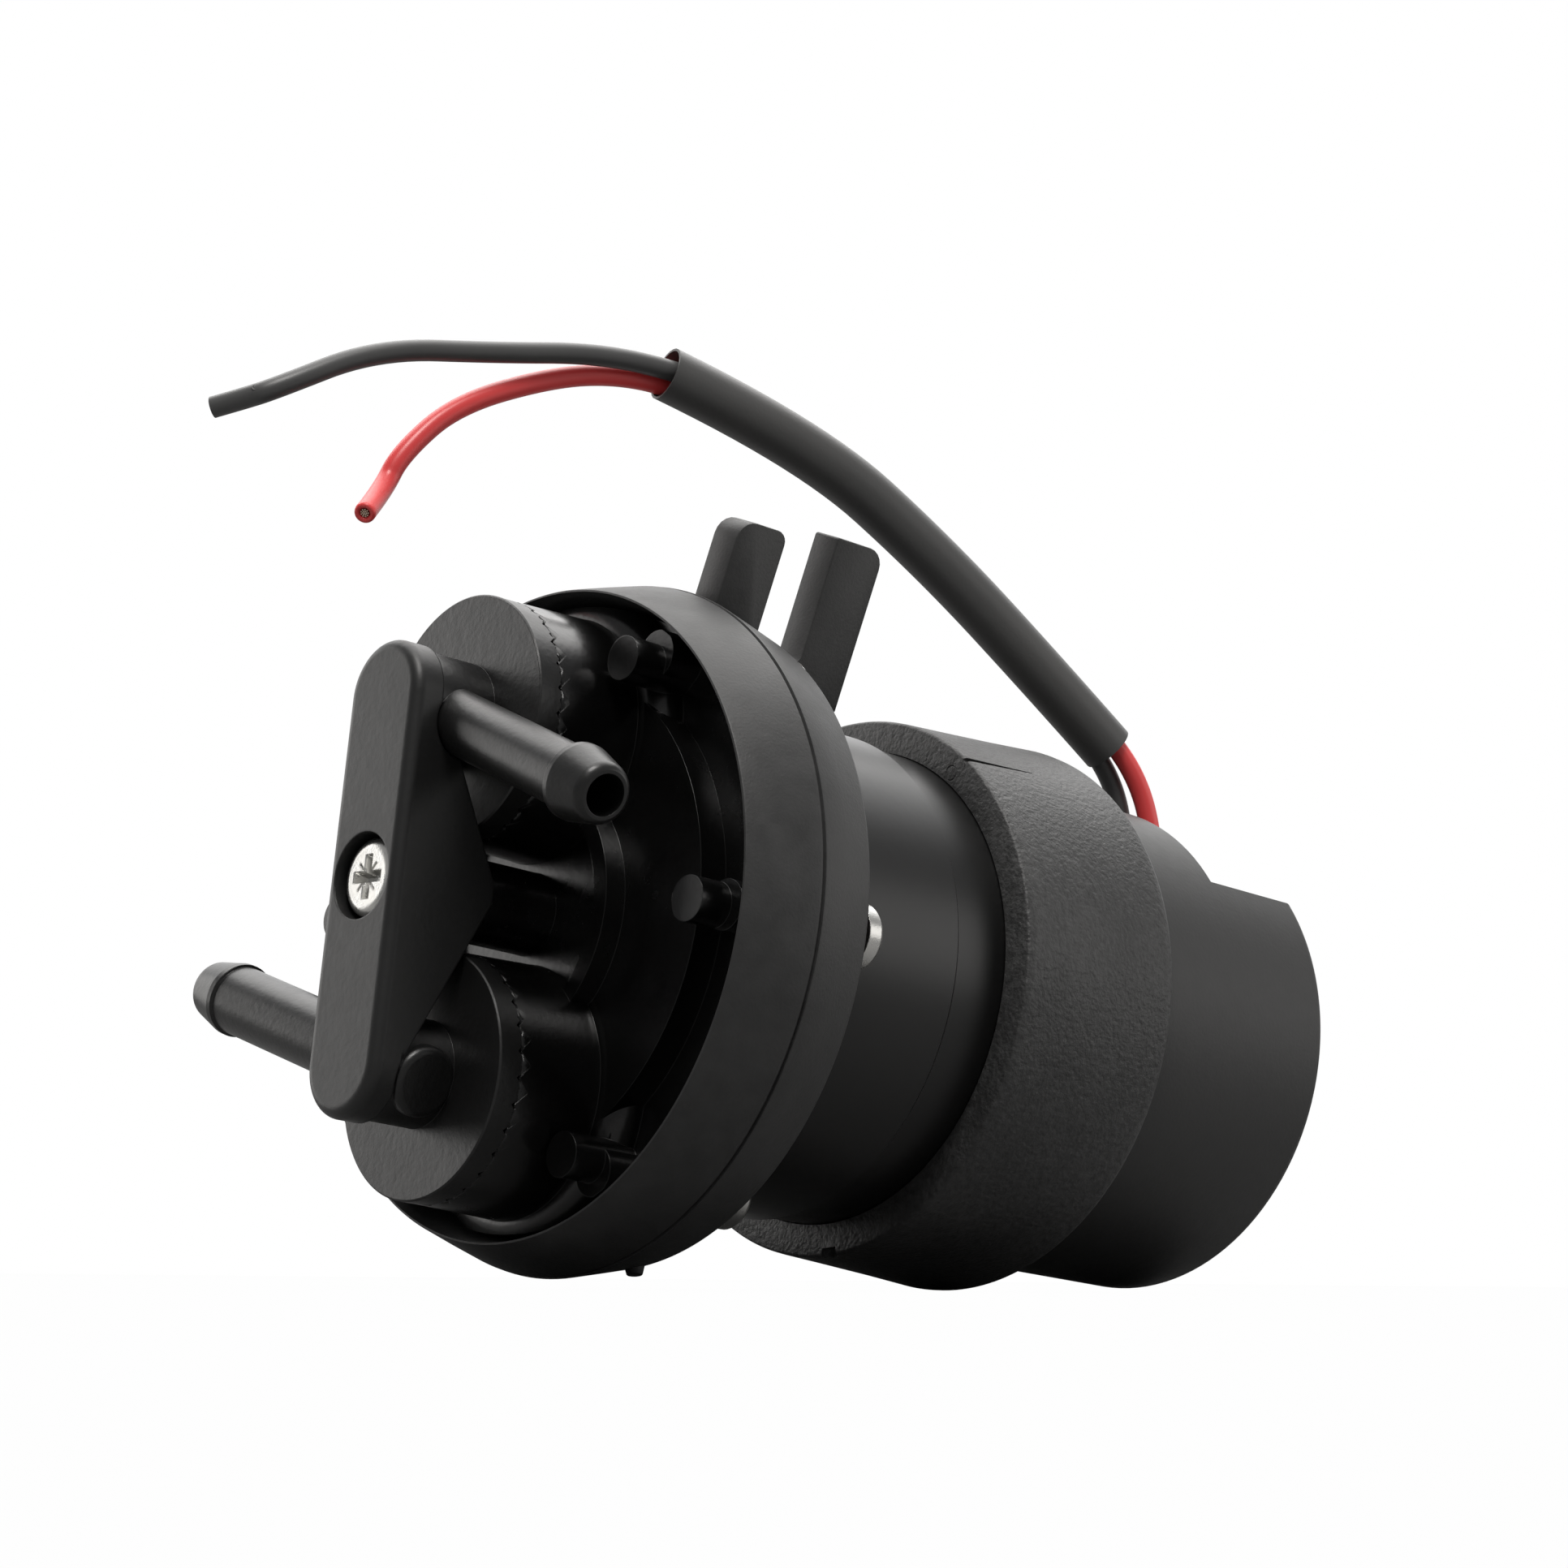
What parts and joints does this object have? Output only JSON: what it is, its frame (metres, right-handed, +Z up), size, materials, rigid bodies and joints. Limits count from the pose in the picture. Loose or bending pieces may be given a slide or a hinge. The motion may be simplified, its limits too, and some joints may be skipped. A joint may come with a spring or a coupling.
{
  "type": "electric fuel pump",
  "caption": "Inline solenoid diaphragm fuel pump: two barbed nozzles under a clamping bar, a rubber mounting ring with a hanger fork, a black can, a rear cap and two leads.",
  "frame": {"origin": "on the pump axis, in the plane of the rubber ring's front rim", "axes": "+X along the pump axis from the ports to the rear cap, +Z up through the fork's side, -Y towards the outlet nozzle"},
  "size_m": [0.1165, 0.0672, 0.0966],
  "materials": {
    "housing_nylon": "black glass-filled nylon, satin",
    "cap_nylon": "black glass-filled nylon, fine satin grain",
    "bar_nylon": "black moulded nylon, satin",
    "rear_cap_nylon": "black moulded nylon, fine satin",
    "inner_nylon": "natural nylon",
    "ring_rubber": "black moulded rubber, soft sheen",
    "sleeve_rubber": "rough matte black rubber",
    "fuel_rubber": "fuel-resistant rubber",
    "can_paint": "semi-gloss black paint",
    "zinc": "bright zinc plate",
    "steel": "plain steel",
    "brass": "plain brass",
    "copper": "enamelled copper wire",
    "red_pvc": "glossy red PVC",
    "black_pvc": "glossy black PVC",
    "sleeve_pvc": "dark grey PVC sleeving"
  },
  "bodies": {
    "housing": {"bar_screw": "zinc", "black_lead": "black_pvc", "black_lead_terminal": "brass", "coil_bobbin": "inner_nylon", "coil_winding": "copper", "contact_base": "inner_nylon", "core_tube": "brass", "diaphragm": "fuel_rubber", "fixed_contact": "brass", "flange_screws": "zinc", "front_housing": "housing_nylon", "front_pole_plate": "steel", "inlet_cap_seal": "fuel_rubber", "inlet_port_cap": "cap_nylon", "inlet_valve_seat": "brass", "inlet_valve_spring": "steel", "lead_grommet": "ring_rubber", "lead_sleeve": "sleeve_pvc", "mounting_ring": "ring_rubber", "outlet_cap_seal": "fuel_rubber", "outlet_port_cap": "cap_nylon", "outlet_valve_seat": "brass", "outlet_valve_spring": "steel", "pivot_pin": "steel", "rear_cap": "rear_cap_nylon", "rear_flange": "housing_nylon", "rear_pole_plate": "steel", "red_lead": "red_pvc", "red_lead_terminal": "brass", "retaining_bar": "bar_nylon", "return_spring": "steel", "rubber_sleeve": "sleeve_rubber", "solenoid_can": "can_paint", "spring_stop": "steel"},
    "plunger_group": {"pull_rod": "steel", "plunger": "steel", "rod_nut": "steel", "front_diaphragm_washer": "steel", "rear_diaphragm_washer": "steel"},
    "breaker_arm": {"contact_arm": "brass"},
    "inlet_disc": {"inlet_valve_disc": "fuel_rubber"},
    "outlet_disc": {"outlet_valve_disc": "fuel_rubber"}
  },
  "joints": [
    {"name": "plunger_stroke", "type": "slide", "parent": "housing", "child": "plunger_group", "axis": [1, 0, 0], "range_m": [0, 0.003], "stiffness_N_per_m": 800, "springref_m": -0.002, "deforming": ["return_spring", "diaphragm"]},
    {"name": "breaker_tilt", "type": "hinge", "parent": "housing", "child": "breaker_arm", "pos_m": [0.0674, 0, -0.012], "axis": [0, 1, 0], "range_deg": [0, 15]},
    {"name": "outlet_valve_lift", "type": "slide", "parent": "housing", "child": "outlet_disc", "axis": [-1, 0, 0], "range_m": [0, 0.0008], "stiffness_N_per_m": 50, "springref_m": -0.001, "deforming": ["outlet_valve_spring"]},
    {"name": "inlet_valve_lift", "type": "slide", "parent": "housing", "child": "inlet_disc", "axis": [1, 0, 0], "range_m": [0, 0.0008], "stiffness_N_per_m": 50, "springref_m": -0.001, "deforming": ["inlet_valve_spring"]}
  ],
  "couplings": [
    {"joint": "breaker_tilt", "follows": "plunger_stroke", "rad_per_m": 83.333}
  ]
}
